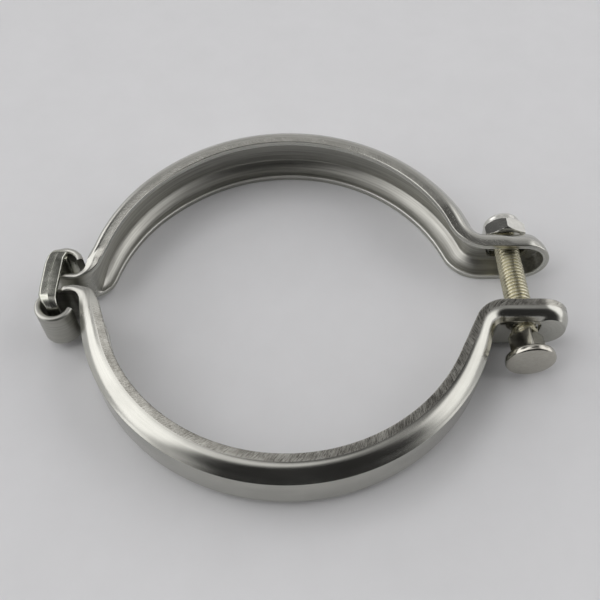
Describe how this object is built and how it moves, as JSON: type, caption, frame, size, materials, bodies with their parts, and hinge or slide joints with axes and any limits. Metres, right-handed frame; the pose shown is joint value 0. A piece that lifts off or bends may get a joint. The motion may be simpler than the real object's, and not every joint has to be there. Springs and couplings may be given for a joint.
{
  "type": "two-half pipe repair clamp",
  "caption": "Pressed steel channel clamp in two halves, hinged by a loop link and drawn together round a pipe joint by a bolt and lock nut through flared ears.",
  "frame": {"origin": "axis of the near half's pipe seat, at the middle of the channel's height", "axes": "+Z along the pipe, +X from the ring's axis towards the bolt, -Y towards the half that carries the bolt's head"},
  "size_m": [0.1641, 0.1316, 0.0196],
  "materials": {
    "pressed_sheet": "satin, with ground lips",
    "link_steel": "satin",
    "bolt_steel": "bright nickel",
    "nut_steel": "bright nickel",
    "insert_nylon": "matte"
  },
  "bodies": {
    "near_body": {"near_half": "pressed_sheet"},
    "link_body": {"hinge_link": "link_steel"},
    "far_body": {"far_half": "pressed_sheet"},
    "bolt_body": {"bolt": "bolt_steel"},
    "insert_body": {"nut_insert": "insert_nylon"},
    "nut_body": {"hex_nut": "nut_steel"}
  },
  "joints": [
    {"name": "link_swing", "type": "hinge", "parent": "near_body", "child": "link_body", "pos_m": [-0.0713, -0.0061, 0], "axis": [0, 0, 1], "range_deg": [-1.4, 0]},
    {"name": "far_half_swing", "type": "hinge", "parent": "link_body", "child": "far_body", "pos_m": [-0.0713, 0.0103, 0], "axis": [0, 0, 1], "range_deg": [-5.6, 0]},
    {"name": "bolt_turn", "type": "hinge", "parent": "near_body", "child": "bolt_body", "pos_m": [0.0729, -0.0122, 0], "axis": [-0.0262, 0.9997, 0], "range_deg": [-45, 45]},
    {"name": "nut_travel", "type": "slide", "parent": "bolt_body", "child": "insert_body", "axis": [-0.0262, 0.9997, 0], "range_m": [-0.01675, 0]},
    {"name": "nut_spin", "type": "hinge", "parent": "insert_body", "child": "nut_body", "pos_m": [0.0729, -0.0122, 0], "axis": [-0.0262, 0.9997, 0], "range_deg": [-4824, 0]}
  ],
  "couplings": [
    {"joint": "nut_travel", "follows": "nut_spin", "m_per_rad": 0.00019894},
    {"joint": "far_half_swing", "follows": "nut_spin", "ratio": 0.0011609},
    {"joint": "link_swing", "follows": "nut_spin", "ratio": 0.00029022}
  ]
}
